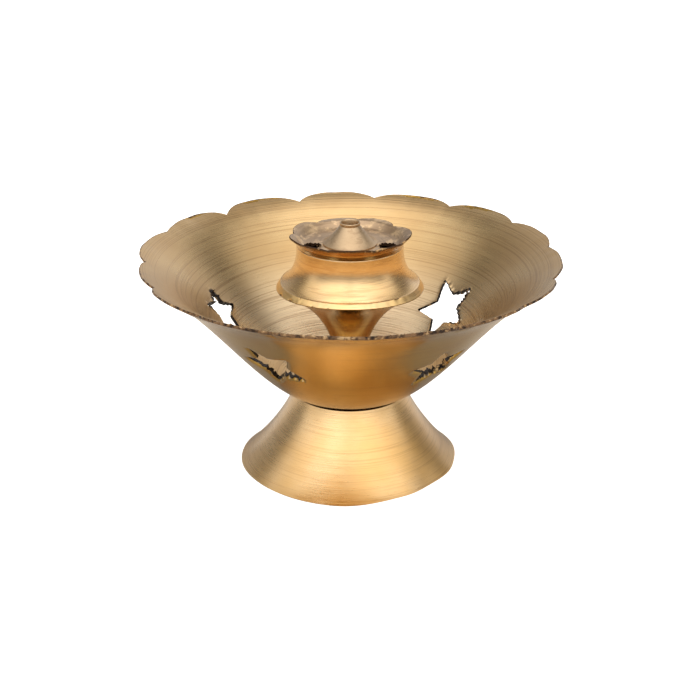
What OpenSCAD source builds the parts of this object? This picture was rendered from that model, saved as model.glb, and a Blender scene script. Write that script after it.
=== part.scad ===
// Brass incense stand: a footed ash bowl with a fluted holder and a lift-off petal cap.
// Origin at the centre of the foot's resting edge, +Z up, millimetres.

/* [Foot] */
// Diameter across the foot's resting edge
foot_d = 63.2; // [52:0.4:80]
// Height of the foot, from the resting edge to its flat top
foot_h = 21.5; // [17:0.5:28]
// Diameter of the foot where the flare meets its flat top
foot_top_d = 32.6; // [26:0.2:36]
// Sheet thickness of the foot
foot_wall = 1; // [0.7:0.1:1.4]

/* [Bowl] */
// Diameter across the tips of the rim lobes
bowl_d = 120; // [100:1:150]
// Height of the lobe tips above the foot's flat top
bowl_h = 39.6; // [33:0.2:48]
// Diameter of the flat seat under the bowl
bowl_seat_d = 26; // [20:1:32]
// Radial width of the flared lip
lip_w = 13; // [10:0.5:16]
// Height of the flared lip
lip_h = 9.4; // [7:0.2:12]
// Sheet thickness of the bowl
bowl_wall = 1.2; // [0.8:0.1:1.6]
// Number of lobes around the rim
lobes = 15; // [9:1:24]
// Depth of the notch between two lobes
lobe_depth = 2.4; // [1:0.1:3.5]
// Compass angle of the first notch
lobe_turn = 11; // [0:1:23]

/* [Stars] */
// Radius of a star's tips
star_r = 8.6; // [6:0.1:10]
// Radius of a star's inner corners
star_inner_r = 4; // [2.5:0.1:4.5]

/* [Holder] */
// Height of the bell's top edge above the bowl's floor
holder_h = 43.2; // [36:0.2:52]
// Height of the seam between funnel and bell above the bowl's floor
seam_h = 30.4; // [27:0.1:32]
// Diameter of the funnel's flange on the bowl's floor
flange_d = 17; // [14:0.5:22]
// Diameter of the funnel's waist
waist_d = 9.2; // [8.8:0.1:12]
// Height of the waist above the bowl's floor
waist_h = 8.3; // [6:0.1:10]
// Outside diameter of the seam
seam_d = 41.8; // [38:0.2:50]
// Height of the seam's bevelled band
seam_band = 1.7; // [1.2:0.1:2.4]
// Outside diameter of the bell's neck
neck_d = 30.2; // [28:0.2:34]
// Sheet thickness of the funnel and the bell
holder_wall = 0.8; // [0.6:0.1:0.9]

/* [Cap] */
// Reach of the petals' tips beyond the neck
petal_reach = 2.3; // [1.5:0.1:6]
// Height that the petals rise above the neck's edge
petal_rise = 2.9; // [2.2:0.1:4]
// Depth of the cut between two petals
petal_depth = 1.5; // [0.5:0.1:2]
// Depth that the cap's floor sinks into the neck
cap_plug = 0.6; // [0.4:0.1:1.5]
// Sheet thickness of the cap
cap_wall = 0.8; // [0.6:0.1:0.9]
// Diameter of a stick hole
stick_hole_d = 4.8; // [3:0.1:5]

/* [Nozzle] */
// Nozzle's base as a share of the plug's diameter
nozzle_share = 0.55; // [0.4:0.01:0.6]
// Height of the nozzle above the cap's floor
nozzle_h = 6.2; // [5:0.1:9]
// Outside diameter of the nozzle's mouth
mouth_d = 5.8; // [5:0.1:7]
// Diameter of the bore down the nozzle's mouth
nozzle_bore_d = 4.3; // [3:0.1:4.6]
// Length of the straight bore
nozzle_bore_l = 3; // [2:0.1:4]

/* [Fastening] */
// Thread diameter of the tie bolt
bolt_d = 4; // [3:0.5:4]
// Height of the bolt's head
head_h = 2.2; // [1.5:0.1:3]
// Length of thread below the nut
bolt_tail = 3; // [1:0.5:5]
// Width across the nut's flats as a share of the bolt's diameter
nut_share = 1.75; // [1.6:0.05:2]
// Height of the nut
nut_h = 3.2; // [2.4:0.1:4]
// Outside diameter of the washer as a share of the bolt's diameter
washer_share = 2.5; // [2:0.1:3]
// Thickness of the washer
washer_h = 0.8; // [0.5:0.1:1.2]

/* [Clearances] */
// Gap around the cap's plug in the neck
cap_fit = 0.3; // [0.2:0.05:0.5]
// Gap between the petals' underside and the neck's edge
seat_gap = 0.25; // [0.15:0.05:0.4]
// Gap around the bolt's head in the waist
head_gap = 0.3; // [0.2:0.05:0.5]
// Radial gap between the bolt and its holes
bolt_gap = 0.2; // [0.1:0.05:0.4]
// Radial gap between the bolt's thread and the nut
thread_gap = 0.05; // [0.02:0.01:0.1]

/* [Hidden] */
$fn = 96;
eps = 0.01;
steps = 14;

// Each star: compass angle, height of its centre as a share of the bowl's, turn in the wall.
stars = [[33, 0.417, 186], [101, 0.48, 10], [169, 0.518, 44], [236, 0.505, 52], [310, 0.472, 57]];
// Compass angles of the hand-cut gaps between petals.
petal_gaps = [37, 82, 127, 172, 213, 248, 294, 338];
// Compass angles of the stick holes.
stick_angles = [-15, 90, 195];

// Stacking heights.
seat_z = foot_h;
floor_z = seat_z + bowl_wall;
base_top_z = floor_z + holder_wall;
waist_z = floor_z + waist_h;
seam_z = floor_z + seam_h;
neck_z = floor_z + holder_h;
cap_floor_z = neck_z - cap_plug;
cap_top_z = cap_floor_z + cap_wall;
washer_z = foot_h - foot_wall - washer_h;
nut_z = washer_z - nut_h;
bolt_end_z = nut_z - bolt_tail;

bowl_r = bowl_d / 2;
neck_r = neck_d / 2;
seam_r = seam_d / 2;
band_top_r = seam_r - 0.7 * seam_band;
cap_r = neck_r + petal_reach;
plug_r = neck_r - holder_wall - cap_fit;
nozzle_base_r = nozzle_share * plug_r;
stick_hole_at = (nozzle_base_r + plug_r) / 2;
hole_r = bolt_d / 2 + bolt_gap;
head_d = waist_d - 2 * holder_wall - 2 * head_gap;
nut_af = nut_share * bolt_d;
washer_d = washer_share * bolt_d;
lobe_gaps = [for (k = [0 : lobes - 1]) lobe_turn + k * 360 / lobes];

// Point on a cubic curve through a and d, pulled towards b and c.
function curve_at(a, b, c, d, t) =
    pow(1 - t, 3) * a + 3 * pow(1 - t, 2) * t * b + 3 * (1 - t) * t * t * c + pow(t, 3) * d;
function curve(a, b, c, d, n = steps) = [for (i = [0 : n]) curve_at(a, b, c, d, i / n)];
function tail(list) = [for (i = [1 : len(list) - 1]) list[i]];
function reverse(list) = [for (i = [len(list) - 1 : -1 : 0]) list[i]];

// Unit normal on the left of a path at point i.
function side(path, i) =
    let (d = path[min(i + 1, len(path) - 1)] - path[max(i - 1, 0)])
    [-d.y, d.x] / norm(d);
function inner(path, wall) = [for (i = [0 : len(path) - 1]) path[i] + wall * side(path, i)];

// Radius and lean of a rising path at height z.
function radius_at(path, z) = lookup(z, [for (p = path) [p.y, p.x]]);
function lean_at(path, z) = atan2(2, radius_at(path, z + 1) - radius_at(path, z - 1));

// Outer faces of the spun shells, from the bottom up.
foot_side = curve([foot_d / 2, 0], [foot_d / 2 - 4.5, 3.4],
                  [foot_top_d / 2 + 3, foot_h - 7.8], [foot_top_d / 2, foot_h]);
belly_end = [bowl_r - lip_w, seat_z + bowl_h - lip_h];
belly = curve([bowl_seat_d / 2, seat_z], [bowl_seat_d / 2 + 9.4, seat_z],
              belly_end - [11.6, 11.6], belly_end, 20);
lip_end = [bowl_r + 2.5, seat_z + bowl_h + 0.8];
lip = curve(belly_end, belly_end + [4.2, 4.2], lip_end - [7.3, 2.6], lip_end);
bowl_side = concat(belly, tail(lip));
funnel_base = curve([flange_d / 2, base_top_z], [waist_d / 2 + 1, base_top_z + 0.4],
                    [waist_d / 2, waist_z - 4], [waist_d / 2, waist_z]);
funnel_flare = curve([waist_d / 2, waist_z], [waist_d / 2, waist_z + 7.4],
                     [waist_d / 2 + 4.3, seam_z - 4.4], [seam_r, seam_z - holder_wall / 4], 20);
bell_z = seam_z + seam_band;
bell_rise = neck_z - 1 - bell_z;
bell_side = concat(curve([band_top_r, bell_z], [band_top_r - 2.6, bell_z + 0.2 * bell_rise],
                         [neck_r, neck_z - 1 - 0.42 * bell_rise], [neck_r, neck_z - 1]), [[neck_r, neck_z]]);

// Thin shell of revolution inside an outer path.
module spun(path, wall) {
    rotate_extrude() polygon(concat(path, reverse(inner(path, wall))));
}

// Flat outline of lobes that meet at the gap angles.
module lobed(gaps, tip_r, notch_r) {
    circle(2 * notch_r - tip_r);
    for (i = [0 : len(gaps) - 1]) {
        next = i < len(gaps) - 1 ? gaps[i + 1] : gaps[0] + 360;
        half = (next - gaps[i]) / 2;
        reach = tip_r - notch_r * cos(half);
        lobe_r = (pow(notch_r * sin(half), 2) + reach * reach) / (2 * reach);
        rotate(gaps[i] + half) translate([tip_r - lobe_r, 0]) circle(lobe_r);
    }
}

module star_outline() {
    polygon([for (i = [0 : 9]) (i % 2 == 0 ? star_r : star_inner_r) * [cos(36 * i), sin(36 * i)]]);
}

// Five-pointed cutter square to the bowl's wall.
module star_cut(angle, share, turn) {
    z = seat_z + share * bowl_h;
    rotate(angle)
        translate([radius_at(bowl_side, z), 0, z])
            rotate([0, 90 - lean_at(bowl_side, z), 0])
                rotate([0, -90, 0])
                    linear_extrude(12, center = true)
                        rotate(turn) star_outline();
}

module foot() {
    color("goldenrod") difference() {
        union() {
            spun(foot_side, foot_wall);
            translate([0, 0, foot_h - foot_wall]) cylinder(h = foot_wall, d = foot_top_d);
        }
        translate([0, 0, foot_h - 2 * foot_wall]) cylinder(h = 3 * foot_wall, r = hole_r);
        translate([0, 0, -2 * foot_wall]) cylinder(h = 2 * foot_wall, d = foot_d + 2);
    }
}

module bowl() {
    color("darkgoldenrod") difference() {
        intersection() {
            union() {
                spun(bowl_side, bowl_wall);
                translate([0, 0, seat_z]) cylinder(h = bowl_wall, d = bowl_seat_d + 1);
            }
            linear_extrude(lip_end.y + 5) lobed(lobe_gaps, bowl_r, bowl_r - lobe_depth);
        }
        for (s = stars) star_cut(s[0], s[1], s[2]);
        translate([0, 0, seat_z - 1]) cylinder(h = bowl_wall + 2, r = hole_r);
    }
}

module stem_funnel() {
    outer = concat([[flange_d / 2, floor_z]], funnel_base, tail(funnel_flare), [[seam_r, seam_z]]);
    lining = inner(funnel_flare, holder_wall);
    mouth_r = lining[len(lining) - 1].x;
    cavity = concat([[0, base_top_z], [waist_d / 2 - holder_wall, base_top_z]], lining,
                    [[mouth_r, seam_z + 1], [0, seam_z + 1]]);
    color("peru") difference() {
        rotate_extrude() polygon(concat([[0, floor_z]], outer, [[0, seam_z]]));
        rotate_extrude() polygon(cavity);
        translate([0, 0, floor_z - 1]) cylinder(h = holder_wall + 2, r = hole_r);
    }
}

// Brazed seam, dressed to a bevel, that joins the bell to the funnel's lip.
module rim_seam() {
    color("khaki") rotate_extrude() polygon([
        [seam_r - holder_wall, seam_z], [seam_r, seam_z],
        [band_top_r, seam_z + seam_band], [band_top_r - holder_wall, seam_z + seam_band]]);
}

// The bell's foot is cut level, so that it stands on the seam.
module holder_bell() {
    color("gold") difference() {
        spun(bell_side, holder_wall);
        translate([0, 0, seam_z]) cylinder(h = seam_band, d = seam_d);
    }
}

module petal_cap() {
    under_z = neck_z + seat_gap;
    tip = [cap_r + 0.6, neck_z + petal_rise + 0.6];
    under = curve([neck_r, under_z], [neck_r + 0.3, under_z + 1.3],
                  tip - [1.9, 1.3], tip + [0.3, -0.6], 8);
    top = curve([plug_r - 1.3, cap_top_z], [plug_r + 0.3, cap_top_z],
                [neck_r - 0.7, under_z + 1.9], tip, 10);
    color("rosybrown") difference() {
        intersection() {
            rotate_extrude() polygon(concat([[0, cap_floor_z], [plug_r, cap_floor_z], [plug_r, under_z]],
                                            under, reverse(top), [[0, cap_top_z]]));
            translate([0, 0, cap_floor_z - 1])
                linear_extrude(petal_rise + 6) lobed(petal_gaps, cap_r, cap_r - petal_depth);
        }
        for (a = stick_angles)
            rotate(a) translate([stick_hole_at, 0, cap_floor_z - 1])
                cylinder(h = cap_wall + 2, d = stick_hole_d);
        translate([0, 0, cap_floor_z - 1]) cylinder(h = cap_wall + 2, d = nozzle_bore_d);
    }
}

module nozzle() {
    mouth_r = mouth_d / 2;
    top_z = cap_top_z + nozzle_h;
    skirt = curve([nozzle_base_r, cap_top_z], [nozzle_base_r - 1.8, cap_top_z + 1],
                  [mouth_r + 1.2, top_z - 2.6], [mouth_r, top_z - 0.7], 10);
    bore_z = top_z - nozzle_bore_l;
    color("burlywood") difference() {
        rotate_extrude() polygon(concat([[0, cap_top_z]], skirt, [[mouth_r, top_z], [0, top_z]]));
        translate([0, 0, bore_z - 1]) cylinder(h = nozzle_bore_l + 2, d = nozzle_bore_d);
        translate([0, 0, cap_top_z - eps])
            cylinder(h = bore_z - cap_top_z + eps, r1 = nozzle_base_r - 1.4, r2 = nozzle_bore_d / 2);
    }
}

// Pan-headed bolt whose slotted head lies on the funnel's floor.
module tie_bolt() {
    slot_w = 1;
    color("silver") difference() {
        union() {
            translate([0, 0, bolt_end_z]) cylinder(h = base_top_z - bolt_end_z + eps, d = bolt_d);
            translate([0, 0, base_top_z]) cylinder(h = head_h * 0.6, d = head_d);
            translate([0, 0, base_top_z + head_h * 0.6])
                cylinder(h = head_h * 0.4, d1 = head_d, d2 = head_d * 0.7);
        }
        translate([-head_d / 2, -slot_w / 2, base_top_z + head_h / 2]) cube([head_d, slot_w, head_h]);
    }
}

module washer() {
    color("silver") translate([0, 0, washer_z]) difference() {
        cylinder(h = washer_h, d = washer_d);
        translate([0, 0, -1]) cylinder(h = washer_h + 2, r = hole_r);
    }
}

module nut() {
    color("silver") translate([0, 0, nut_z]) difference() {
        cylinder(h = nut_h, d = nut_af / cos(30), $fn = 6);
        translate([0, 0, -1]) cylinder(h = nut_h + 2, r = bolt_d / 2 + thread_gap);
    }
}

foot();
bowl();
stem_funnel();
rim_seam();
holder_bell();
petal_cap();
nozzle();
tie_bolt();
washer();
nut();
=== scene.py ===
"""Looks of the brass incense stand: spun shells with hand-cut edges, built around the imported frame.

Lengths are millimetres and angles are degrees until a mesh is made; MM turns lengths into metres.
Compass angles run from +X towards +Y, so the front of the stand is at -90.
"""
import math

import bpy
import numpy as np
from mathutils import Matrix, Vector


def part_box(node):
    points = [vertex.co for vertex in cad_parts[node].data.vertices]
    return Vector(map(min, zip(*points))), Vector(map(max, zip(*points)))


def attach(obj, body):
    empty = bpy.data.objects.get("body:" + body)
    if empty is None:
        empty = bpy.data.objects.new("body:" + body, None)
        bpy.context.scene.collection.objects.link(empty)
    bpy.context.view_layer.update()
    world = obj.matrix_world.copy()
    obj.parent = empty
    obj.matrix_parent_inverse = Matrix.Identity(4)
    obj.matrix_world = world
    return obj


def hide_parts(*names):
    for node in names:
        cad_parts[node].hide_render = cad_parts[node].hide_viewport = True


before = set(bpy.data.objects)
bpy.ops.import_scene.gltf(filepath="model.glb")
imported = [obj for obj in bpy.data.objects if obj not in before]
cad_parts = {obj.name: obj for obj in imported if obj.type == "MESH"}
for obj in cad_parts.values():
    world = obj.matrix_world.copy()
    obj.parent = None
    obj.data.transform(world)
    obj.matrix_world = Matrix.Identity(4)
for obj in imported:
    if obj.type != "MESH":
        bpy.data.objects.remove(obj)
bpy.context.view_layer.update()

MM = 0.001
SEGS = 720
CREASE = 40


# ---------------------------------------------------------------- sizes, from the frame
def reach(node):
    """Radius, bottom and top of a CAD node."""
    low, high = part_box(node)
    return max(high.x, high.y) / MM, low.z / MM, high.z / MM


FOOT_R, _, FOOT_H = reach("foot")
_, SEAT_Z, _ = reach("bowl")
SEAM_R, SEAM_Z, BAND_TOP = reach("rim_seam")
_, FLOOR_Z, _ = reach("stem_funnel")
_, _, NECK_Z = reach("holder_bell")
_, CAP_FLOOR, _ = reach("petal_cap")
NOZZLE_R, CAP_TOP, NOZZLE_TOP = reach("nozzle")
WASHER_R, WASHER_Z, WASHER_TOP = reach("washer")
_, NUT_Z, NUT_TOP = reach("nut")
_, BOLT_END, HEAD_TOP = reach("tie_bolt")

# Sizes that the frame's boxes don't give.
HOLE_R = 2.2
FOOT_TOP_R = 16.3
FOOT_WALL = 1.0
BOWL_R = 60.0
BOWL_H = 39.6
BOWL_SEAT_R = 13.0
BOWL_WALL = 1.2
LIP_W = 13.0
LIP_H = 9.4
LIP_START = 48.0
HOLDER_WALL = 0.8
FLANGE_R = 8.5
WAIST_R = 4.6
WAIST_Z = FLOOR_Z + 8.3
NECK_R = 15.1
BEVEL_SLOPE = 0.7
BAND_TOP_R = SEAM_R - BEVEL_SLOPE * (BAND_TOP - SEAM_Z)
BASE_TOP = FLOOR_Z + HOLDER_WALL
CAP_R = 17.4
PLUG_R = NECK_R - HOLDER_WALL - 0.3
UNDER_Z = NECK_Z + 0.25
STICK_HOLE_R = 2.4
STICK_HOLE_AT = 10.85
STICK_ANGLES = (-15, 90, 195)
MOUTH_R = 2.9
BORE_R = 2.15
BORE_L = 3.0
BOLT_R = 2.0
HEAD_R = 3.5
NUT_AF = 7.0

# Bowl rim, hand cut and so uneven: each gap's compass angle and radius, and the tip radius of the lobe
# after it. A fullness of 2 makes a lobe a parabola, and a higher one is flatter across the tip.
LOBES = [(-15, 57.5, 59.5), (11, 58.1, 60.3), (34, 58.6, 60.6), (58, 58.1, 60.6), (82.5, 58.0, 60.7),
         (106, 57.1, 60.6), (131.5, 56.8, 60.5), (156, 59.0, 60.4), (181, 57.7, 59.1), (202, 57.2, 59.6),
         (227, 57.8, 59.9), (250, 57.5, 59.8), (274, 57.9, 59.9), (299, 57.6, 59.7), (322, 57.8, 59.8)]
LOBE_FULLNESS = 3.0
# Petal cap: each gap's compass angle and radius, and the tip radius of the petal after it.
PETALS = [(37, 15.7, 17.5), (82, 16.2, 17.6), (127, 15.8, 17.5), (172, 16.1, 17.3), (213, 16.4, 17.3),
          (248, 16.6, 17.4), (294, 16.4, 17.4), (338, 15.8, 17.6)]
PETAL_FULLNESS = 2.4
# How far the whole petal edge is cut back from those radii.
PETAL_TRIM = 0.25
# How far the edge sits below its drawn height, and how much lower it is at the back and higher at the front.
RIM_DROP, RIM_TILT = 0.3, 0.45
PETAL_DROP, PETAL_TILT = 0.15, 1.15
# How much higher the holder's seam and the top of its band are at the front.
SEAM_LIFT, BAND_LIFT = 1.1, 0.55
# Each star: compass angle, height of its centre above the seat, turn in the wall, reach of its tips.
STARS = [(33.2, 16.6, 185.6, 9.6), (101, 19, 10, 8.3), (170.6, 20.5, 44, 7.3), (235.7, 19.9, 51.4, 9.1),
         (310.5, 18.7, 57, 8.1)]
# A star's inner corners, as a share of the reach of its tips.
STAR_INNER = 0.52
STAR_CUT_DEPTH = 12
# Distance to an edge, for points that are near none.
FAR = 9.0
# For each star, the direction in the wall (0 is up) of the side that the punch tore.
TORN_SIDES = [-45, 0, -20, 150, 150]
# The foot's resting edge is not quite round: compass angle and how far it stands out.
FOOT_BUMPS = [(20, -0.2), (90, 0), (140, 0), (180, 0.4), (225, 0.4), (262, 1.2), (300, -0.8), (320, -1.6),
              (345, -0.8)]
# Nicks in the filed seam: compass angle, width, depth, and the edge they are in (0 the lower, 1 the upper).
NICKS = [(311.5, 3.0, 0.34, 1), (217, 2.6, 0.3, 0), (240, 1.6, 0.22, 0), (253, 1.4, 0.2, 0),
         (201, 2.2, 0.3, 0), (226, 1.0, 0.2, 1), (20, 2, 0.25, 1), (100, 2.6, 0.3, 0), (152, 1.5, 0.25, 1)]
# Directions of x, y and depth for a cutter that goes straight down.
UPRIGHT = np.eye(3)


# ---------------------------------------------------------------- outlines
def curve(a, b, c, d, n=40):
    """Points of a cubic curve from a to d, pulled towards b and c."""
    a, b, c, d = (np.array(p, float) for p in (a, b, c, d))
    t = np.linspace(0, 1, n)[:, None]
    return (1 - t) ** 3 * a + 3 * (1 - t) ** 2 * t * b + 3 * (1 - t) * t * t * c + t ** 3 * d


def joined(*paths):
    """One path from several, without the doubled points where they meet."""
    points = np.vstack([np.atleast_2d(np.array(p, float)) for p in paths])
    step = np.linalg.norm(np.diff(points, axis=0), axis=1)
    return points[np.concatenate([[True], step > 1e-6])]


def even(path, step):
    """The same path with its points about a step apart."""
    path = np.array(path, float)
    s = np.concatenate([[0], np.cumsum(np.linalg.norm(np.diff(path, axis=0), axis=1))])
    t = np.linspace(0, s[-1], max(2, round(s[-1] / step) + 1))
    return np.stack([np.interp(t, s, path[:, 0]), np.interp(t, s, path[:, 1])], axis=1)


def offset(path, wall):
    """The path moved to its left by the wall's thickness."""
    d = np.gradient(path, axis=0)
    return path + wall * np.stack([-d[:, 1], d[:, 0]], axis=1) / np.linalg.norm(d, axis=1)[:, None]


def bead(a, b, along, n=5, bulge=0.5):
    """Points of a rounded edge from a to b that bulges along a direction."""
    a, b, along = (np.array(p, float) for p in (a, b, along))
    along = along / np.linalg.norm(along) * np.linalg.norm(b - a) * bulge
    t = np.linspace(0, math.pi, n + 2)[1:-1, None]
    return (a + b) / 2 + (a - b) / 2 * np.cos(t) + along * np.sin(t)


def sheet(outer, wall, bulge=0.4):
    """Closed outline of a sheet on the inside of an outer path, with softened edges."""
    inside = offset(outer, wall)
    return np.vstack([outer, bead(outer[-1], inside[-1], outer[-1] - outer[-2], bulge=bulge), inside[::-1],
                      bead(inside[0], outer[0], outer[0] - outer[1], bulge=bulge)])


def around(segs=SEGS):
    """Compass angles of a ring's points."""
    return np.arange(segs) * 360.0 / segs


def wave(angle, seed, size, low=1, high=7):
    """Smooth random wave around the axis."""
    rng = np.random.default_rng(seed)
    total = np.zeros_like(angle)
    for k in range(low, high + 1):
        total += rng.normal() * np.cos(np.radians(k * angle + rng.uniform(0, 360))) / math.sqrt(k)
    return size * total / 2


def bumps(angle, heights):
    """Smooth closed curve through values given at compass angles."""
    at = np.array([h[0] for h in heights], float)
    value = np.array([h[1] for h in heights], float)
    at = np.concatenate([at[-1:] - 360, at, at[:1] + 360])
    value = np.concatenate([value[-1:], value, value[:1]])
    angle = np.where(angle < at[0], angle + 360, angle)
    angle = np.where(angle >= at[-1], angle - 360, angle)
    k = np.clip(np.searchsorted(at, angle, side="right") - 1, 0, len(at) - 2)
    t = (angle - at[k]) / (at[k + 1] - at[k])
    t = t * t * (3 - 2 * t)
    return value[k] * (1 - t) + value[k + 1] * t


def lobed(angle, lobes, fullness):
    """Radius at an angle of an outline of lobes; a fuller lobe is flatter across its tip."""
    start, notch, tip = np.array(lobes, float).T
    width = np.diff(np.append(start, start[0] + 360))
    angle = np.mod(angle - start[0], 360) + start[0]
    k = np.clip(np.searchsorted(start, angle, side="right") - 1, 0, len(lobes) - 1)
    share = (angle - start[k]) / width[k]
    low = notch[k] * (1 - share) + np.roll(notch, -1)[k] * share
    return low + (tip[k] - low) * (1 - np.abs(2 * share - 1) ** fullness)


# ---------------------------------------------------------------- meshes
def new_object(name, verts, faces, crease=CREASE):
    """Mesh object from points in millimetres."""
    mesh = bpy.data.meshes.new(name)
    mesh.from_pydata((np.asarray(verts, float) * MM).tolist(), [], faces)
    obj = bpy.data.objects.new(name, mesh)
    bpy.context.scene.collection.objects.link(obj)
    finish_mesh(mesh, crease)
    return obj


def finish_mesh(mesh, crease=CREASE):
    """Smooth shading with edges sharper than the crease angle left sharp."""
    mesh.update()
    mesh.shade_smooth()
    mesh.set_sharp_from_angle(angle=math.radians(crease))


def rings(column, segs=SEGS):
    """A column of numbers, one per ring, repeated for every point of its ring."""
    return np.repeat(column, segs, axis=1)


def spin(name, radius, height, segs=SEGS, closed=True, crease=CREASE):
    """Rings of points joined by quads.

    closed joins the last ring to the first, and otherwise the first and the last are capped.
    """
    radius, height = (np.atleast_2d(np.array(v, float)) for v in (radius, height))
    if radius.shape[0] == 1:
        radius, height = radius.T, height.T
    radius, height = (np.broadcast_to(v, (len(v), segs)) for v in (radius, height))
    turn = np.radians(around(segs))
    verts = np.stack([radius * np.cos(turn), radius * np.sin(turn), height], axis=-1).reshape(-1, 3)
    rows = len(radius) if closed else len(radius) - 1
    i, j = np.meshgrid(np.arange(rows), np.arange(segs), indexing="ij")
    i2 = (i + 1) % len(radius)
    j2 = (j + 1) % segs
    quads = np.stack([i * segs + j, i * segs + j2, i2 * segs + j2, i2 * segs + j], axis=-1)
    faces = quads.reshape(-1, 4).tolist()
    if not closed:
        faces.append(list(range(segs))[::-1])
        faces.append([(len(radius) - 1) * segs + k for k in range(segs)])
    return new_object(name, verts, faces, crease)


def points_of(obj):
    """The mesh's points in millimetres."""
    co = np.empty(len(obj.data.vertices) * 3)
    obj.data.vertices.foreach_get("co", co)
    return co.reshape(-1, 3) / MM


def move_points(obj, points):
    """Puts the mesh's points at new places, in millimetres."""
    obj.data.vertices.foreach_set("co", (points * MM).ravel())
    finish_mesh(obj.data)


def of_faces(obj, what):
    """The center, in metres, or the normal of each face."""
    values = np.empty(len(obj.data.polygons) * 3)
    obj.data.polygons.foreach_get(what, values)
    return values.reshape(-1, 3)


def polar(points):
    """Compass angle and radius of points."""
    return np.degrees(np.arctan2(points[:, 1], points[:, 0])), np.hypot(points[:, 0], points[:, 1])


def short_of(edge, angle, points):
    """How far points stop short of an edge whose radius is given at compass angles from 0."""
    compass, radius = polar(points)
    edge_here = np.interp(np.mod(compass, 360), np.append(angle, 360), np.append(edge, edge[0]))
    return np.maximum(edge_here - radius, 0)


def paint(obj, material, second=None, where=None):
    """Gives a piece its material, and a second one on the faces where a mask is true."""
    obj.data.materials.append(material)
    if second:
        obj.data.materials.append(second)
        obj.data.polygons.foreach_set("material_index", where.astype(np.int32))


def mark(obj, name, values):
    """Keeps one number per point for the materials."""
    layer = obj.data.attributes.new(name, "FLOAT", "POINT")
    layer.data.foreach_set("value", np.asarray(values, np.float32))


def cut(obj, cutters):
    """Cuts the cutters out of obj, for good."""
    for cutter in cutters:
        modifier = obj.modifiers.new("cut", "BOOLEAN")
        modifier.object = cutter
        modifier.solver = "EXACT"
    graph = bpy.context.evaluated_depsgraph_get()
    mesh = bpy.data.meshes.new_from_object(obj.evaluated_get(graph))
    obj.modifiers.clear()
    old = obj.data
    obj.data = mesh
    bpy.data.meshes.remove(old)
    mesh.name = obj.name
    for cutter in cutters:
        bpy.data.objects.remove(cutter)
    finish_mesh(mesh)


def prism(outline, place, depth):
    """Cutter with a flat outline; place gives its middle and the directions of x, y and depth."""
    middle, x_dir, y_dir, z_dir = place
    flat = middle + outline[:, :1] * x_dir + outline[:, 1:] * y_dir
    n = len(outline)
    verts = np.vstack([flat - depth / 2 * z_dir, flat + depth / 2 * z_dir])
    faces = [[i, (i + 1) % n, n + (i + 1) % n, n + i] for i in range(n)]
    faces += [list(range(n))[::-1], list(range(n, 2 * n))]
    return new_object("cutter", verts, faces)


def rough_outline(corners, step, jag, seed):
    """The closed outline through the corners, cut into short steps that wander a little."""
    rng = np.random.default_rng(seed)
    corners = np.array(corners, float)
    points = []
    for a, b in zip(corners, np.roll(corners, -1, axis=0)):
        n = max(2, round(np.linalg.norm(b - a) / step))
        t = np.arange(n)[:, None] / n
        points.append(a + (b - a) * t)
    points = np.vstack(points)
    ahead = np.roll(points, -1, axis=0) - np.roll(points, 1, axis=0)
    across = np.stack([-ahead[:, 1], ahead[:, 0]], axis=1) / np.linalg.norm(ahead, axis=1)[:, None]
    wander = rng.normal(0, jag, len(points))
    slow = np.convolve(np.tile(wander, 3), np.ones(7) / 7, "same")[len(wander):2 * len(wander)]
    smooth = (wander + np.roll(wander, 1)) / 2 + slow
    return points + across * smooth[:, None]


def distance_to_outline(points, outline):
    """Distance from flat points to a closed outline."""
    best = np.full(len(points), 1e9)
    for a, b in zip(outline, np.roll(outline, -1, axis=0)):
        d = b - a
        t = np.clip((points - a) @ d / (d @ d), 0, 1)
        best = np.minimum(best, np.linalg.norm(points - a - t[:, None] * d, axis=1))
    return best


# ---------------------------------------------------------------- shapes of the shells
# The bowl's wall is drawn a little past the rim, so that lobes of any radius lie on it.
lip_end = np.array([BOWL_R + 2.5, SEAT_Z + BOWL_H + 0.8])
belly_end = np.array([BOWL_R - LIP_W, SEAT_Z + BOWL_H - LIP_H])
belly = curve((BOWL_SEAT_R, SEAT_Z), (BOWL_SEAT_R + 9.4, SEAT_Z), belly_end - 11.6, belly_end, 80)
lip = curve(belly_end, belly_end + 4.2, lip_end - (7.3, 2.6), lip_end)
bowl_outer = joined([(HOLE_R, SEAT_Z)], belly, lip)
bowl_wall_path = joined(belly, lip)
bowl_inner = joined([(HOLE_R, SEAT_Z + BOWL_WALL)], offset(bowl_wall_path, BOWL_WALL))
bowl_middle = joined([(HOLE_R, SEAT_Z + BOWL_WALL / 2)], offset(bowl_wall_path, BOWL_WALL / 2))


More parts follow.
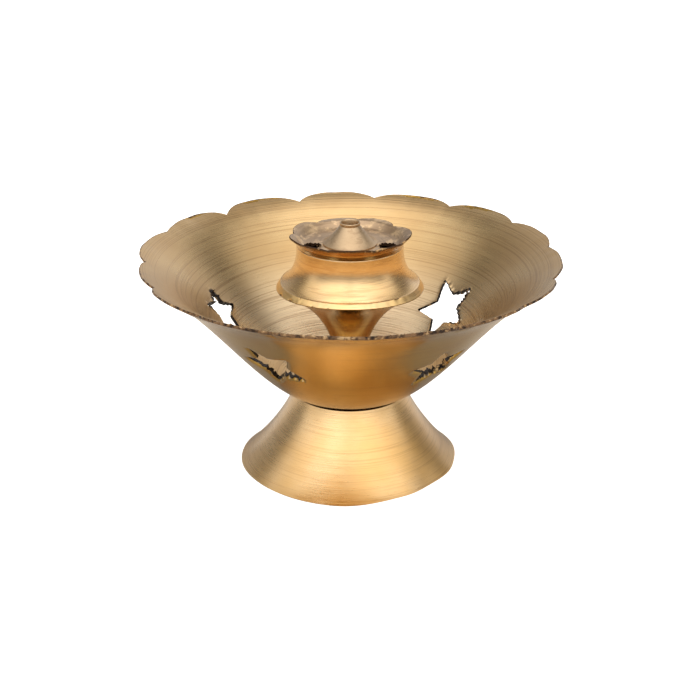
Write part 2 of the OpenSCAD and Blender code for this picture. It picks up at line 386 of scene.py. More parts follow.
def bowl_rings(angle, rim):
    """Radius and height of rings up the bowl's outer face, over its rim and down its inner face."""
    step = 0.8
    last_steps = BOWL_R - np.array([1.6, 1.0, 0.55, 0.25, 0])
    lip_steps = np.append(np.arange(LIP_START + step, BOWL_R - 2.2, step), last_steps)
    stretch = (rim - LIP_START) / (BOWL_R - LIP_START)
    lip_r = LIP_START + (lip_steps[:, None] - LIP_START) * stretch
    sides = []
    for path in (bowl_outer, bowl_inner):
        wall = even(path[path[:, 0] < LIP_START], step)
        lip_z = np.interp(lip_r, path[:, 0], path[:, 1])
        sides.append((np.vstack([rings(wall[:, :1]), lip_r]), np.vstack([rings(wall[:, 1:]), lip_z])))
    (outer_r, outer_z), (inner_r, inner_z) = sides
    share = np.array([0.25, 0.5, 0.75])[:, None]
    edge_r = outer_r[-1] * (1 - share) + inner_r[-1] * share + 0.18 * np.sin(math.pi * share)
    edge_z = outer_z[-1] * (1 - share) + inner_z[-1] * share
    r = np.vstack([outer_r, edge_r, inner_r[::-1]])
    z = np.vstack([outer_z, edge_z, inner_z[::-1]])
    sway = wave(angle, 8, 0.1, 2, 9) + wave(angle, 9, 0.07, 15, 90)
    sway = sway - RIM_DROP - RIM_TILT * np.sin(np.radians(angle))
    return r, z + sway * np.clip((r - LIP_START) / (BOWL_R - LIP_START), 0, 1) ** 2


def work_star(points, radius, distance, star, torn_side, rng):
    """Files a star's edge back on the outer face and pushes its torn side in as a ragged burr.

    It moves the points and lowers their distance to a cut edge, both in place.
    """
    (middle, x_dir, y_dir, z_dir), outline = star
    search, burr_reach, filed_back = 14, 1.3, 0.42
    local = points - middle
    flat = np.stack([local @ x_dir, local @ y_dir], axis=1)
    near = (np.abs(local @ z_dir) < STAR_CUT_DEPTH / 2) & (np.linalg.norm(flat, axis=1) < search)
    flat = flat[near]
    to_cut = distance_to_outline(flat, outline)
    outer_face = points[near, 2] < np.interp(radius[near], bowl_middle[:, 0], bowl_middle[:, 1])
    facing = flat @ np.array([math.cos(math.radians(torn_side)), math.sin(math.radians(torn_side))])
    torn = np.clip(0.3 + 0.9 * facing / np.linalg.norm(flat, axis=1), 0, 1)
    scale_reach = 0.22 + 1.9 * torn ** 2
    distance[near] = np.minimum(distance[near], to_cut / scale_reach * np.where(outer_face, 2.2, 1))
    lump = np.sin(flat[:, 0] * 2.3 + rng.uniform(0, 6)) * np.cos(flat[:, 1] * 2.9 + rng.uniform(0, 6))
    lump += 0.6 * np.sin(flat[:, 0] * 6.1 + 1) * np.sin(flat[:, 1] * 5.3 + 2)
    close = np.clip(1 - to_cut / burr_reach, 0, 1) ** 2
    burr = 0.1 + 0.6 * torn * (0.4 + lump)
    push = np.where(outer_face, filed_back, 0.0) * close + burr * close
    points[near] += z_dir * push[:, None]


def bowl_shell():
    """Footed bowl's shell, with uneven rim lobes and hand-cut stars."""
    angle = around()
    rim = lobed(angle, LOBES, LOBE_FULLNESS) + wave(angle, 5, 0.1, 20, 60)
    shell = spin("bowl_shell", *bowl_rings(angle, rim))
    stars = []
    for i, (compass, height, turn, size) in enumerate(STARS):
        stars.append((star_place(compass, height), star_outline(turn, size, 30 + i)))
    cut(shell, [prism(outline, place, STAR_CUT_DEPTH) for place, outline in stars])
    points = points_of(shell)
    compass, radius = polar(points)
    to_rim = short_of(rim, angle, points)
    distance = np.full(len(points), FAR)
    rng = np.random.default_rng(12)
    for star, torn_side in zip(stars, TORN_SIDES):
        work_star(points, radius, distance, star, torn_side, rng)
    # The wall thins towards the rim, from its outer face.
    thinning, thin_reach = 0.8, 3
    below = np.minimum(points[:, 2] - np.interp(radius, bowl_middle[:, 0], bowl_middle[:, 1]), 0)
    points[:, 2] -= below * thinning * np.clip(1 - to_rim / thin_reach, 0, 1)
    move_points(shell, points)
    mark(shell, "edge_mm", distance)
    # Brown scale runs down the outer face in patches.
    patchy = np.clip(wave(np.mod(compass, 360), 41, 1.0, 3, 24), 0, 1)
    mark(shell, "rim_mm", to_rim / np.where(below < -0.02, 2.5 + 6 * patchy, 1.3))
    centre = of_faces(shell, "center") / MM
    inside = centre[:, 2] > np.interp(polar(centre)[1], bowl_middle[:, 0], bowl_middle[:, 1])
    paint(shell, brass["bowl_outside"], brass["bowl_inside"], inside)
    return shell


def star_place(compass, height):
    """Middle of a star on the bowl's wall, with the directions up the wall, around and inwards."""
    z = SEAT_Z + height
    r = np.interp(z, bowl_wall_path[:, 1], bowl_wall_path[:, 0])
    slope = np.interp([z - 1, z + 1], bowl_wall_path[:, 1], bowl_wall_path[:, 0])
    up = np.array([slope[1] - slope[0], 0, 2.0])
    up /= np.linalg.norm(up)
    a = math.radians(compass)
    spun = np.array([[math.cos(a), -math.sin(a), 0], [math.sin(a), math.cos(a), 0], [0, 0, 1]])
    up_dir = spun @ up
    side_dir = spun @ np.array([0, 1.0, 0])
    return spun @ np.array([r, 0, z]), up_dir, side_dir, np.cross(up_dir, side_dir)


def star_outline(turn, size, seed):
    """Ragged five-pointed star with blunt tips and each corner a little off its place."""
    rng = np.random.default_rng(seed)
    blunt = 0.02
    corners = []
    for i in range(10):
        r = size * (1 if i % 2 == 0 else STAR_INNER) * (1 + rng.uniform(-0.04, 0.04))
        a = math.radians(36 * i + turn + rng.uniform(-2, 2))
        if i % 2 == 0:
            corners.append((r * math.cos(a - blunt), r * math.sin(a - blunt)))
            corners.append((r * math.cos(a + blunt), r * math.sin(a + blunt)))
        else:
            corners.append((r * math.cos(a), r * math.sin(a)))
    return rough_outline(corners, 0.42, 0.05, seed + 50)


def foot_shell():
    """Flared foot, closed at the top around the bolt hole and open below."""
    side = curve((FOOT_R, 0), (FOOT_R - 4.5, 3.4), (FOOT_TOP_R + 3, FOOT_H - 7.8), (FOOT_TOP_R, FOOT_H), 60)
    corner = curve(side[-1], side[-1] + (-0.15, 0.02), side[-1] + (-0.3, 0.02), side[-1] + (-0.5, 0.02), 4)
    outer = joined(even(side, 0.6), corner, even([(FOOT_TOP_R - 0.5, FOOT_H + 0.02), (HOLE_R, FOOT_H)], 1.2))
    lining = offset(side, FOOT_WALL)
    lining = lining[(lining[:, 1] < FOOT_H - FOOT_WALL) & (lining[:, 1] > 0.1)]
    ceiling = [(FOOT_TOP_R - FOOT_WALL - 0.3, FOOT_H - FOOT_WALL), (HOLE_R, FOOT_H - FOOT_WALL)]
    inside = joined(even(ceiling, 1.2)[::-1], even(lining, 0.9)[::-1])
    rim = bead(inside[-1], outer[0], (0.3, -1), n=4, bulge=0.15)
    loop = np.vstack([outer, inside, rim])
    angle = around()
    low = np.clip(1 - loop[:, 1:] / 14, 0, 1) ** 2
    r = loop[:, :1] + (wave(angle, 21, 0.1, 5, 12) + bumps(angle, FOOT_BUMPS))[None, :] * low
    z = np.maximum(loop[:, 1:] + (wave(angle, 22, 0.1, 2, 12) + 0.12)[None, :] * low, 0)
    shell = spin("foot_shell", r, z)
    points = points_of(shell)
    mark(shell, "edge_mm", np.maximum(points[:, 2], 0) + 0.25)
    paint(shell, brass["foot"])
    return shell


def dull_inside(shell, outside):
    """Gives the outer faces one material and the unpolished faces that look at the axis another."""
    centre, normal = of_faces(shell, "center"), of_faces(shell, "normal")
    inward = np.sum(centre[:, :2] * normal[:, :2], axis=1) < -1e-5
    paint(shell, outside, brass["unpolished"], inward)


def lift_front(shell):
    """The holder's widest ring was brazed a little higher at the front than at the back."""
    points = points_of(shell)
    radius = polar(points)[1]
    front = np.clip(-points[:, 1] / radius, 0, 1) ** 2
    outward = np.clip((radius - WAIST_R) / (SEAM_R - WAIST_R), 0, 1) ** 2
    lift = np.interp(points[:, 2], [SEAM_Z, BAND_TOP, NECK_Z], [SEAM_LIFT, BAND_LIFT, 0])
    points[:, 2] += front * outward * lift
    move_points(shell, points)


def funnel_shell():
    """Flange, waist and flare under the holder's seam, hollow from the flange up."""
    flange = curve((FLANGE_R, BASE_TOP), (WAIST_R + 1, BASE_TOP + 0.4), (WAIST_R, WAIST_Z - 4),
                   (WAIST_R, WAIST_Z))
    flare = curve((WAIST_R, WAIST_Z), (WAIST_R, WAIST_Z + 7.4), (WAIST_R + 4.3, SEAM_Z - 4.4),
                  (SEAM_R, SEAM_Z - HOLDER_WALL / 4), 60)
    lining = offset(flare, HOLDER_WALL)
    lining = lining[lining[:, 1] < SEAM_Z - 0.05]
    mouth = [(SEAM_R, SEAM_Z), (lining[-1, 0] + 0.1, SEAM_Z)]
    outer = joined(even([(HOLE_R, FLOOR_Z), (FLANGE_R, FLOOR_Z)], 1), even(joined(flange, flare), 0.5))
    bottom = even([(WAIST_R - HOLDER_WALL, BASE_TOP), (HOLE_R, BASE_TOP)], 0.8)
    loop = joined(outer, mouth, even(lining, 0.7)[::-1], bottom)
    shell = spin("funnel_shell", loop[:, 0], loop[:, 1], segs=360)
    lift_front(shell)
    mark(shell, "edge_mm", np.full(len(shell.data.vertices), FAR))
    dull_inside(shell, brass["funnel"])
    return shell


def seam_band():
    """Brazed seam, filed to a bevel, with nicks where the braze fell short."""
    outer = [(SEAM_R - HOLDER_WALL, SEAM_Z), (SEAM_R, SEAM_Z)]
    bevel = even([(SEAM_R, SEAM_Z), (BAND_TOP_R, BAND_TOP)], 0.25)
    inner = even([(BAND_TOP_R - HOLDER_WALL, BAND_TOP), (SEAM_R - HOLDER_WALL, SEAM_Z)], 0.5)
    loop = joined(even(outer, 0.3), bevel, inner)[:-1]
    angle = around()
    on_bevel = (loop[:, 0] + loop[:, 1] * BEVEL_SLOPE > SEAM_R + BEVEL_SLOPE * SEAM_Z - 0.01).astype(float)
    up = np.clip((loop[:, 1] - SEAM_Z) / (BAND_TOP - SEAM_Z), 0, 1)
    depth = np.zeros((len(loop), SEGS))
    for compass, width, deep, end in NICKS:
        near = np.exp(-(np.mod(angle - compass + 180, 360) - 180) ** 2 / width ** 2 * 1.4)
        depth += np.outer(on_bevel * np.exp(-((up - end * 0.92 - 0.04) / 0.2) ** 2), near * deep)
    ragged = wave(angle, 31, 0.05, 20, 80)[None, :] * on_bevel[:, None]
    shell = spin("seam_band", loop[:, :1] - depth + ragged, rings(loop[:, 1:]))
    lift_front(shell)
    mark(shell, "edge_mm", np.clip(0.9 - depth.ravel() * 6, 0, 0.9) + 0.25)
    paint(shell, brass["seam"])
    return shell


def bell_shell():
    """Bell that sweeps in from the seam's band to an upright neck."""
    shoulder_z = NECK_Z - 1
    rise = shoulder_z - BAND_TOP
    side = curve((BAND_TOP_R, BAND_TOP), (BAND_TOP_R - 3.2, BAND_TOP + 0.18 * rise),
                 (NECK_R, shoulder_z - 0.42 * rise), (NECK_R, shoulder_z))
    loop = sheet(even(joined(side, [(NECK_R, NECK_Z)]), 0.35), HOLDER_WALL, 0.2)
    loop[:, 1] = np.maximum(loop[:, 1], BAND_TOP)
    shell = spin("bell_shell", loop[:, 0], loop[:, 1], segs=360)
    lift_front(shell)
    mark(shell, "edge_mm", np.full(len(shell.data.vertices), FAR))
    dull_inside(shell, brass["bell"])
    return shell


def cap_rings(angle, rim):
    """Radius and height of rings under the petal cap, over its edge and across its dish."""
    tip = np.array([CAP_R + 0.6, NECK_Z + 3.5])
    under = curve((NECK_R, UNDER_Z), (NECK_R + 0.3, UNDER_Z + 1.3), tip - (1.9, 1.3), tip + (0.3, -0.6), 30)
    top = curve((PLUG_R - 1.3, CAP_TOP), (PLUG_R + 0.3, CAP_TOP), (NECK_R - 0.7, UNDER_Z + 1.9), tip, 30)
    start = NECK_R + 0.3
    plug = even([(BORE_R, CAP_FLOOR), (PLUG_R, CAP_FLOOR)], 0.7)
    wall = even([(PLUG_R, CAP_FLOOR), (PLUG_R, UNDER_Z), (NECK_R, UNDER_Z)], 0.4)
    fixed = joined(plug, wall)
    steps = np.append(np.linspace(start, CAP_R - 0.4, 7), [CAP_R - 0.2, CAP_R])
    petal_r = start + (steps[:, None] - start) * (rim - start) / (CAP_R - start)
    low_z = np.interp(petal_r, under[:, 0], under[:, 1])
    high_z = np.interp(petal_r, top[:, 0], top[:, 1])
    share = np.array([0.25, 0.5, 0.75])[:, None]
    edge_r = petal_r[-1] + 0.1 * np.sin(math.pi * share)
    edge_z = low_z[-1] * (1 - share) + high_z[-1] * share
    slope = even(top[top[:, 0] < start], 0.4)[::-1]
    dish = joined(slope, even([(PLUG_R - 1.3, CAP_TOP), (BORE_R, CAP_TOP)], 0.5))
    r = np.vstack([rings(fixed[:, :1]), petal_r, edge_r, petal_r[::-1], rings(dish[:, :1])])
    z = np.vstack([rings(fixed[:, 1:]), low_z, edge_z, high_z[::-1], rings(dish[:, 1:])])
    lean = -PETAL_DROP - PETAL_TILT * np.sin(np.radians(angle))
    curl = lean + wave(angle, 16, 0.3, 3, 10) + wave(angle, 17, 0.05, 20, 60)
    return r, z + curl * np.clip((r - NECK_R) / (CAP_R - NECK_R), 0, 1)


def cap_shell():
    """Petal cap: a shallow dish that plugs the neck, with hand-snipped petals and burred stick holes."""
    angle = around()
    rim = lobed(angle, PETALS, PETAL_FULLNESS) - PETAL_TRIM + wave(angle, 15, 0.05, 12, 50)
    shell = spin("cap_shell", *cap_rings(angle, rim))
    turn = np.radians(np.arange(0, 360, 15))
    circle = STICK_HOLE_R * np.stack([np.cos(turn), np.sin(turn)], axis=1)
    holes = []
    for i, compass in enumerate(STICK_ANGLES):
        a = math.radians(compass)
        middle = np.array([STICK_HOLE_AT * math.cos(a), STICK_HOLE_AT * math.sin(a), CAP_FLOOR])
        holes.append(((middle, *UPRIGHT), rough_outline(circle, 0.3, 0.07, 70 + i)))
    cut(shell, [prism(outline, place, 6) for place, outline in holes])
    points = points_of(shell)
    distance = short_of(rim, angle, points)
    search, burr_h, burr_reach = 4.5, 0.3, 0.7
    for place, outline in holes:
        flat = points[:, :2] - place[0][:2]
        near = np.linalg.norm(flat, axis=1) < search
        to_cut = distance_to_outline(flat[near], outline)
        distance[near] = np.minimum(distance[near], to_cut)
        lump = np.sin(flat[near, 0] * 4.1 + 1) * np.cos(flat[near, 1] * 3.7)
        points[near, 2] += burr_h * (0.5 + lump) * np.clip(1 - to_cut / burr_reach, 0, 1) ** 2
    move_points(shell, points)
    mark(shell, "edge_mm", distance)
    paint(shell, brass["cap"], brass["cap_underside"], of_faces(shell, "normal")[:, 2] < -0.05)
    return shell


def nozzle_cone():
    """Hollow cone on the cap, with a thick mouth and a short bore for the middle stick."""
    foot = [(NOZZLE_R - 1.4, CAP_TOP), (NOZZLE_R - 0.1, CAP_TOP), (NOZZLE_R, CAP_TOP + 0.15)]
    skirt = curve((NOZZLE_R, CAP_TOP + 0.35), (NOZZLE_R - 1.8, CAP_TOP + 1.1),
                  (MOUTH_R + 1.2, NOZZLE_TOP - 2.6), (MOUTH_R - 0.1, NOZZLE_TOP - 0.9), 40)
    mouth = [(MOUTH_R, NOZZLE_TOP - 0.7), (MOUTH_R, NOZZLE_TOP - 0.15), (MOUTH_R - 0.15, NOZZLE_TOP),
             (BORE_R + 0.5, NOZZLE_TOP), (BORE_R + 0.35, NOZZLE_TOP - 0.15)]
    bore = even([(BORE_R + 0.3, NOZZLE_TOP - 0.35), (BORE_R, NOZZLE_TOP - 1.9),
                 (BORE_R, NOZZLE_TOP - BORE_L)], 0.4)
    hollow = even([(BORE_R, NOZZLE_TOP - BORE_L - 0.05), (NOZZLE_R - 1.45, CAP_TOP + 0.05)], 0.5)
    loop = joined(foot, even(skirt, 0.25), mouth, bore, hollow)
    cone = spin("nozzle_cone", loop[:, 0], loop[:, 1], segs=240)
    points = points_of(cone)
    foot_line = np.abs(points[:, 2] - CAP_TOP) + np.maximum(NOZZLE_R - polar(points)[1], 0)
    mark(cone, "edge_mm", 0.45 + foot_line)
    paint(cone, brass["nozzle"])
    return cone


def bolt():
    """Slotted pan-head bolt with a cut thread."""
    pitch, thread_depth, slot_half, segs = 0.7, 0.4, 0.5, 96
    shank = np.arange(BOLT_END + 0.3, BASE_TOP, 0.1)[:, None]
    phase = np.mod(shank / pitch - around(segs) / 360, 1)
    shank_r = BOLT_R - thread_depth * np.abs(2 * phase - 1)
    head = np.array([(HEAD_R - 0.2, BASE_TOP), (HEAD_R, BASE_TOP + 0.2), (HEAD_R, BASE_TOP + 1.2),
                     (HEAD_R * 0.93, BASE_TOP + 1.7), (HEAD_R * 0.7, HEAD_TOP - 0.06),
                     (HEAD_R * 0.45, HEAD_TOP)])
    r = np.vstack([np.full((1, segs), BOLT_R * 0.7), shank_r, rings(head[:, :1], segs)])
    z = np.vstack([np.full((1, segs), BOLT_END), rings(shank, segs), rings(head[:, 1:], segs)])
    obj = spin("bolt", r, z, segs=segs, closed=False)
    half = HEAD_R + 1
    corners = np.array([(-half, -slot_half), (half, -slot_half), (half, slot_half), (-half, slot_half)])
    cut(obj, [prism(corners, (np.array([0, 0, HEAD_TOP]), *UPRIGHT), 2.2)])
    paint(obj, steel)
    return obj


def washer_ring():
    """Flat washer with softened edges."""
    r, soft = WASHER_R, 0.12
    loop = np.array([(HOLE_R, WASHER_Z + soft), (HOLE_R + soft, WASHER_Z), (r - soft, WASHER_Z),
                     (r, WASHER_Z + soft), (r, WASHER_TOP - soft), (r - soft, WASHER_TOP),
                     (HOLE_R + soft, WASHER_TOP), (HOLE_R, WASHER_TOP - soft)])
    ring = spin("washer_ring", loop[:, 0], loop[:, 1], segs=120)
    paint(ring, steel)
    return ring


def hex_nut():
    """Hexagon nut, chamfered outside and at both ends of its bore."""
    segs, chamfer, bore_chamfer = 144, 0.45, 0.25
    flat = NUT_AF / 2 / np.cos(np.radians(np.mod(around(segs), 60) - 30))
    turned = np.minimum(flat, NUT_AF / 2 + 0.1)
    bore = np.full(segs, BOLT_R + 0.05)
    outline = [(bore + bore_chamfer, NUT_Z), (turned, NUT_Z), (flat, NUT_Z + chamfer),
               (flat, NUT_TOP - chamfer), (turned, NUT_TOP), (bore + bore_chamfer, NUT_TOP),
               (bore, NUT_TOP - bore_chamfer), (bore, NUT_Z + bore_chamfer)]
    r = np.vstack([radius for radius, _ in outline])
    z = rings(np.array([[height] for _, height in outline]), segs)
    nut = spin("hex_nut", r, z, segs=segs, crease=25)
    paint(nut, steel)
    return nut


# ---------------------------------------------------------------- materials
class Shader:
    """Short calls that add nodes to a material's or a world's node tree."""

    def __init__(self, tree):
        self.tree = tree

    def put(self, socket, value):
        """Links another node's output to a socket, or sets the socket to a number or colour."""
        if isinstance(value, bpy.types.NodeSocket):
            self.tree.links.new(value, socket)
        else:
            socket.default_value = value

    def node(self, kind, inputs=None, **settings):
        """New node with its settings, and with its inputs given by name or number."""
        made = self.tree.nodes.new(kind)
        for key, value in settings.items():
            setattr(made, key, value)
        for key, value in (inputs or {}).items():
            self.put(made.inputs[key], value)
        return made

    def math(self, operation, a, b=0.0, clamp=False):
        """One step of arithmetic."""
        return self.node("ShaderNodeMath", {0: a, 1: b}, operation=operation, use_clamp=clamp).outputs[0]

    def add(self, a, b):
        return self.math("ADD", a, b)

    def times(self, a, b):
        return self.math("MULTIPLY", a, b)

    def ramp(self, value, low, high, to_low=0.0, to_high=1.0):
        """Maps low..high of a value to to_low..to_high, smoothly."""
        inputs = {"Value": value, "From Min": low, "From Max": high, "To Min": to_low, "To Max": to_high}
        return self.node("ShaderNodeMapRange", inputs, interpolation_type="SMOOTHSTEP").outputs["Result"]

    def mix(self, share, a, b):
        """Colour a, with a share of colour b laid over it."""
        return self.node("ShaderNodeMix", {0: share, 6: a, 7: b}, data_type="RGBA").outputs[2]

    def vector(self, operation, inputs):
        """One step of vector arithmetic."""
        return self.node("ShaderNodeVectorMath", inputs, operation=operation)

    def split(self, vector):
        """A vector's x, y and z."""
        return self.node("ShaderNodeSeparateXYZ", {0: vector}).outputs

    def noise(self, vector, scale, detail=2.0, rough=0.5):
        """Cloudy pattern from 0 to 1."""
        inputs = {"Vector": vector, "Scale": scale, "Detail": detail, "Roughness": rough}
        return self.node("ShaderNodeTexNoise", inputs).outputs["Fac"]


def new_material(name):
    """Material, the calls that add its nodes, and the inputs of its surface shader."""
    material = bpy.data.materials.new(name)
    material.use_nodes = True
    tree = material.node_tree
    return material, Shader(tree), tree.nodes["Principled BSDF"].inputs


def rgb(r, g, b):
    return (r, g, b, 1.0)


def ring_coordinates(sh, pitch, slope, drift):
    """Coordinates that run fast across the turning marks and slowly around the axis."""
    place = sh.node("ShaderNodeTexCoord").outputs["Object"]
    x, y, z = sh.split(place)
    flat = sh.node("ShaderNodeCombineXYZ", {0: x, 1: y}).outputs[0]
    radius = sh.vector("LENGTH", {0: flat}).outputs["Value"]
    unit = sh.vector("NORMALIZE", {0: flat}).outputs[0]
    drifted = sh.vector("SCALE", {0: unit, "Scale": drift}).outputs[0]
    outward, upward = (share / (pitch * MM) for share in slope)
    along = sh.add(sh.times(radius, outward), sh.times(z, upward))
    lift = sh.node("ShaderNodeCombineXYZ", {2: along}).outputs[0]
    return place, sh.vector("ADD", {0: drifted, 1: lift}).outputs[0]


def bumped(sh, height, strength, depth):
    """Normal of a surface that is raised by a height from 0 to 1, times a depth in millimetres."""
    inputs = {"Strength": strength, "Distance": depth * MM, "Height": height}
    return sh.node("ShaderNodeBump", inputs).outputs[0]


def browned_rim(sh, colour, wander, patch, speck):
    """The colour with brown scale along the bowl's rim, and how much of the scale there is."""
    distance = sh.node("ShaderNodeAttribute", attribute_name="rim_mm").outputs["Fac"]
    browned = sh.ramp(sh.add(distance, sh.times(wander, 0.5)), 0.02, 0.25, 1.0, 0.0)
    blotch = sh.times(sh.add(patch, speck), 0.5)
    brown = sh.mix(sh.ramp(blotch, 0.4, 0.54), rgb(0.045, 0.024, 0.014), rgb(0.3, 0.17, 0.08))
    brown = sh.mix(sh.ramp(speck, 0.56, 0.66), brown, rgb(0.62, 0.42, 0.22))
    return sh.mix(browned, colour, brown), browned


def worked_brass(name, tint, deep, rough, slope, groove=1.2, groove_depth=0.5, line=0.22, line_depth=0.25,
                 spin_gloss=0.5, haze=0.0, coat=0.5, burn=(0.02, 0.012, 0.008), burn_reach=0.9, rim=False,
                 pale=None, ring=0.3, mottle=None, drift=1.6):
    """Brass with turning grooves, fine brushed lines, uneven colour, and burnt edges.

    tint and deep are the metal's two colours. slope is how fast the grooves are crossed when going
    outwards and upwards, groove and line are their pitches, ring is how dark the grooves are, and drift
    is how soon they fade along their length. haze takes away metal, and spin_gloss draws highlights out.
    burn is the colour of the edges. rim adds brown scale along the bowl's rim, pale is a colour that
    lies low in the bowl, and mottle is a colour in small patches.
    """
    material, sh, surface = new_material(name)
    place, across = ring_coordinates(sh, groove, slope, drift)
    _, fine = ring_coordinates(sh, line, slope, 5.0)
    grooves = sh.noise(across, 1.0, 2.0, 0.6)
    lines = sh.noise(fine, 1.0, 3.0, 0.7)
    cloud = sh.noise(place, 38.0, 3.0, 0.55)
    speck = sh.noise(place, 900.0, 2.0, 0.6)
    patch = sh.noise(place, 330.0, 3.0, 0.65)
    colour = sh.mix(sh.ramp(cloud, 0.3, 0.7), rgb(*tint), rgb(*deep))
    if pale:
        low = sh.ramp(sh.split(place)[2], 30 * MM, 52 * MM, 0.9, 0.0)
        colour = sh.mix(low, colour, rgb(*pale))
    if mottle:
        colour = sh.mix(sh.ramp(patch, 0.46, 0.62, 0.0, 0.8), colour, rgb(*mottle))
    shade = sh.times(sh.ramp(grooves, 0.38, 0.47, 1.0, 0.0), ring)
    shade = sh.add(shade, sh.times(sh.ramp(lines, 0.35, 0.6, 1.0, 0.0), 0.14))
    colour = sh.mix(shade, colour, rgb(deep[0] * 0.55, deep[1] * 0.45, deep[2] * 0.4))
    distance = sh.node("ShaderNodeAttribute", attribute_name="edge_mm").outputs["Fac"]
    wander = sh.math("SUBTRACT", speck, 0.5)
    ragged = sh.add(distance, sh.times(wander, 0.8 * burn_reach))
    burnt = sh.ramp(ragged, 0.2 * burn_reach, 0.7 * burn_reach, 1.0, 0.0)
    scorched = sh.mix(sh.ramp(patch, 0.6, 0.68), rgb(*burn), rgb(0.75, 0.52, 0.26))
    colour = sh.mix(burnt, colour, scorched)
    dull = burnt
    if rim:
        colour, browned = browned_rim(sh, colour, wander, patch, speck)
        dull = sh.math("MAXIMUM", burnt, browned)
    worn = sh.add(rough, sh.times(sh.math("SUBTRACT", cloud, 0.5), 0.16))
    worn = sh.add(worn, sh.times(sh.math("SUBTRACT", lines, 0.5), 0.18))
    height = sh.add(sh.times(grooves, groove_depth), sh.times(lines, line_depth))
    height = sh.add(height, sh.times(sh.times(speck, dull), 1.5))
    sh.put(surface["Base Color"], colour)
    sh.put(surface["Metallic"], 1.0 - haze)
    sh.put(surface["Roughness"], sh.math("ADD", worn, sh.times(dull, 0.35), clamp=True))
    sh.put(surface["Anisotropic"], spin_gloss)
    sh.put(surface["Coat Weight"], coat)
    sh.put(surface["Coat Roughness"], 0.22)
    sh.put(surface["Tangent"], sh.node("ShaderNodeTangent", direction_type="RADIAL", axis="Z").outputs[0])
    sh.put(surface["Normal"], bumped(sh, height, 0.6, 0.1))
    return material


def bright_steel():
    """Zinc-plated steel with turned lines."""
    material, sh, surface = new_material("zinc_steel")
    place, fine = ring_coordinates(sh, 0.2, (1.0, 0.0), 3.0)
    lines = sh.noise(fine, 1.0, 3.0, 0.7)
    cloud = sh.noise(place, 220.0, 3.0)
    colour = sh.mix(sh.ramp(cloud, 0.3, 0.7), rgb(0.62, 0.62, 0.6), rgb(0.42, 0.42, 0.4))
    sh.put(surface["Base Color"], colour)
    sh.put(surface["Metallic"], 1.0)
    sh.put(surface["Roughness"], sh.ramp(cloud, 0.2, 0.8, 0.28, 0.5))
    sh.put(surface["Normal"], bumped(sh, lines, 0.3, 0.05))
    return material


GOLD = (0.87, 0.57, 0.215)
DEEP = (0.80, 0.47, 0.15)
brass = {
    "foot": worked_brass(
        "brushed_brass_foot", (0.86, 0.58, 0.28), DEEP, 0.3, (0.35, -1.0), groove=0.36, groove_depth=0.6,
        coat=1.0, burn_reach=0.35, burn=(0.3, 0.13, 0.03), ring=0.25, drift=0.6),
    "bowl_outside": worked_brass(
        "polished_brass_bowl", (0.68, 0.42, 0.1), (0.6, 0.34, 0.065), 0.2, (1.0, 0.4), groove=1.6,
        groove_depth=0.15, line_depth=0.1, coat=0.2, rim=True, ring=0.15),
    "bowl_inside": worked_brass(
        "turned_brass_bowl", (0.62, 0.425, 0.2), (0.56, 0.355, 0.15), 0.3, (1.0, 0.4), groove=0.36,
        groove_depth=0.9, spin_gloss=0.35, rim=True, pale=(0.95, 0.76, 0.5), ring=0.42, drift=0.45),
    "funnel": worked_brass(
        "polished_brass_funnel", (0.5, 0.31, 0.09), (0.4, 0.23, 0.05), 0.18, (0.3, 1.0), groove=1.0,
        groove_depth=0.12, line_depth=0.08, coat=0.3),
    "bell": worked_brass(
        "polished_brass_bell", (0.84, 0.59, 0.31), (0.78, 0.49, 0.19), 0.24, (-0.4, 1.0), groove=0.7,
        groove_depth=0.2, line_depth=0.15, coat=1.0),
    "seam": worked_brass("filed_brass_seam", (0.86, 0.62, 0.34), GOLD, 0.3, (-0.6, 1.0), burn_reach=0.6),
    "cap": worked_brass(
        "dull_brass_cap", (0.52, 0.36, 0.22), (0.36, 0.24, 0.14), 0.42, (1.0, 0.3), groove=0.9,
        groove_depth=0.3, spin_gloss=0.2, haze=0.1, coat=0.3, burn_reach=0.22, burn=(0.08, 0.04, 0.02),
        mottle=(0.82, 0.58, 0.33)),
    "cap_underside": worked_brass(
        "polished_brass_cap", (0.8, 0.5, 0.17), (0.6, 0.34, 0.1), 0.2, (0.3, 1.0), groove=0.8,
        groove_depth=0.15, burn_reach=0.1, burn=(0.3, 0.17, 0.07)),
    "nozzle": worked_brass(
        "pale_brass_nozzle", (0.6, 0.44, 0.27), (0.5, 0.34, 0.19), 0.36, (0.4, 1.0), groove=0.6,
        groove_depth=0.3, haze=0.1, coat=0.3, burn_reach=0.5),
    "unpolished": worked_brass(
        "unpolished_brass_inside", (0.22, 0.14, 0.08), (0.14, 0.08, 0.045), 0.6, (0.3, 1.0), haze=0.3,
        coat=0.0, spin_gloss=0.2),
}
steel = bright_steel()

# ---------------------------------------------------------------- pieces on their bodies
PIECES = [
    (foot_shell, "stand", "foot", "foot"), (bowl_shell, "stand", "bowl", "bowl"),
    (funnel_shell, "stand", "stem_funnel", "stem_funnel"), (seam_band, "stand", "rim_seam", "rim_seam"),
    (bell_shell, "stand", "holder_bell", "holder_bell"), (bolt, "stand", "tie_bolt", "fastener"),
    (washer_ring, "stand", "washer", "fastener"), (hex_nut, "stand", "nut", "fastener"),
    (cap_shell, "cap", "petal_cap", "petal_cap"), (nozzle_cone, "cap", "nozzle", "nozzle"),
]
for build, body, node, slot in PIECES:
    piece = build()
    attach(piece, body)
    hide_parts(node)


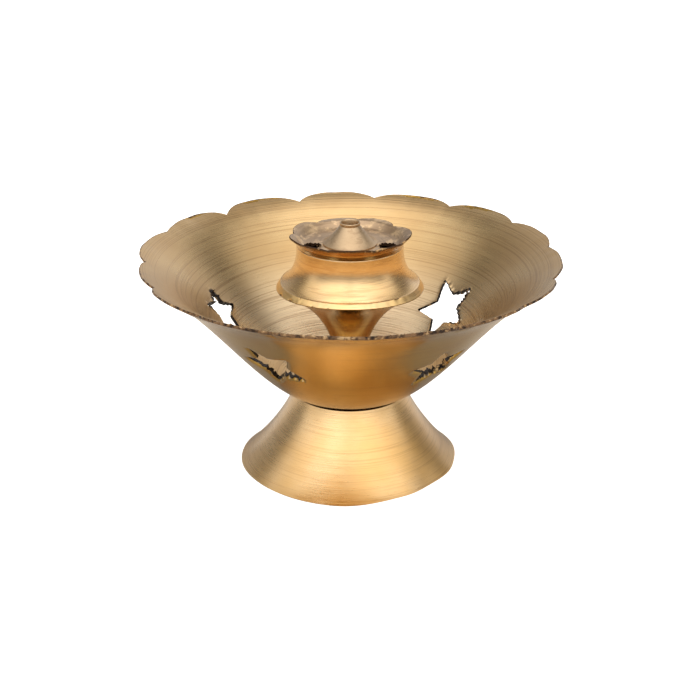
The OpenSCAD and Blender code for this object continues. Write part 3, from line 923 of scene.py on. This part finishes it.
# ---------------------------------------------------------------- stage, lights and camera
def table_plane(name, height, colour, glow, shaded=0):
    """Wide level plane; shaded is how much of its colour is left in a painted shadow under the stand, and 0
    leaves all of it.
    """
    half = 4.0
    mesh = bpy.data.meshes.new(name)
    corners = [(-half, -half, height), (half, -half, height), (half, half, height), (-half, half, height)]
    mesh.from_pydata(corners, [], [(0, 1, 2, 3)])
    plane = bpy.data.objects.new(name, mesh)
    bpy.context.scene.collection.objects.link(plane)
    material, sh, surface = new_material(name)
    tone = rgb(colour, colour * 0.96, colour * 0.9)
    sh.put(surface["Base Color"], tone)
    if shaded:
        # Painted shadow: the colour darkens towards the stand's axis, standing in for the shade under the
        # stand.
        place = sh.node("ShaderNodeTexCoord").outputs["Object"]
        distance = sh.vector("LENGTH", {0: place}).outputs["Value"]
        near = sh.ramp(distance, 35 * MM, 110 * MM, shaded, 1.0)
        sh.put(surface["Base Color"], sh.mix(near, rgb(0, 0, 0), tone))
    sh.put(surface["Roughness"], 0.9)
    sh.put(surface["Emission Color"], rgb(1, 1, 1))
    sh.put(surface["Emission Strength"], glow)
    mesh.materials.append(material)
    return plane


def studio_world():
    """Soft surround: bright in front and overhead, with a dark gap and a dim low front, and pale behind."""
    world = bpy.data.worlds.new("studio")
    bpy.context.scene.world = world
    world.use_nodes = True
    sh = Shader(world.node_tree)
    x, y, z = sh.split(sh.node("ShaderNodeTexCoord").outputs["Generated"])
    facing = sh.math("SUBTRACT", sh.times(z, 0.6), y)
    # Brightness against facing, which is highest in front and stays within its reach of 0.
    reach_of_facing, brightest = 1.2, 3.0
    stops = [(-1.0, 0.34), (-0.5, 0.3), (-0.1, 0.16), (0.06, 0.35), (0.2, 0.95), (0.6, 1.3), (0.95, 1.75),
             (1.15, 1.85)]
    ramp = sh.node("ShaderNodeValToRGB")
    elements = ramp.color_ramp.elements
    while len(elements) < len(stops):
        elements.new(0.5)
    for element, (at, level) in zip(elements, stops):
        element.position = (at + reach_of_facing) / (2 * reach_of_facing)
        element.color = rgb(*(level / brightest,) * 3)
    sh.put(ramp.inputs[0], sh.times(sh.add(facing, reach_of_facing), 1 / (2 * reach_of_facing)))
    level = sh.times(ramp.outputs[0], brightest)
    level = sh.math("MAXIMUM", level, sh.ramp(z, 0.8, 0.97, 0.0, 2.0))
    front = sh.ramp(y, -0.5, -0.1, 1.0, 0.0)
    low = sh.ramp(z, 0.0, 0.5, 0.8, 0.0)
    gap = sh.ramp(sh.math("ABSOLUTE", x), 0.02, 0.08, 0.35, 0.0)
    for darker in (gap, low):
        level = sh.times(level, sh.math("SUBTRACT", 1.0, sh.times(darker, front)))
    behind = sh.times(sh.ramp(y, 0.5, 0.85), sh.ramp(z, -0.1, 0.4, 0.0, 1.0))
    level = sh.add(level, sh.times(behind, sh.ramp(x, -0.4, 0.4, 0.25, 0.8)))
    background = world.node_tree.nodes["Background"]
    background.inputs["Color"].default_value = rgb(1, 0.985, 0.96)
    sh.put(background.inputs["Strength"], level)


# The camera sees one table, and the brass reflects the other.
seen_table = table_plane("table", 0.0, 0.8, 0.8)
seen_table.visible_glossy = False
seen_table.visible_diffuse = False
# The table that the brass reflects carries a painted shadow under the stand.
bounce_table = table_plane("table_bounce", -0.0005, 0.75, 0.05, 0.5)
bounce_table.visible_camera = False
studio_world()

# Radians below level, metres from the stand's foot, and a lens in millimetres.
CAMERA_TILT = 0.399
CAMERA_AT = (0, -0.4514, 0.2238)
CAMERA_LENS = 87.41
lens = bpy.data.cameras.new("camera")
lens.sensor_width = 36
lens.lens = CAMERA_LENS
camera = bpy.data.objects.new("camera", lens)
bpy.context.scene.collection.objects.link(camera)
camera.location = CAMERA_AT
camera.rotation_euler = (math.pi / 2 - CAMERA_TILT, 0, 0)
bpy.context.scene.camera = camera
bpy.context.scene.view_settings.view_transform = "Standard"
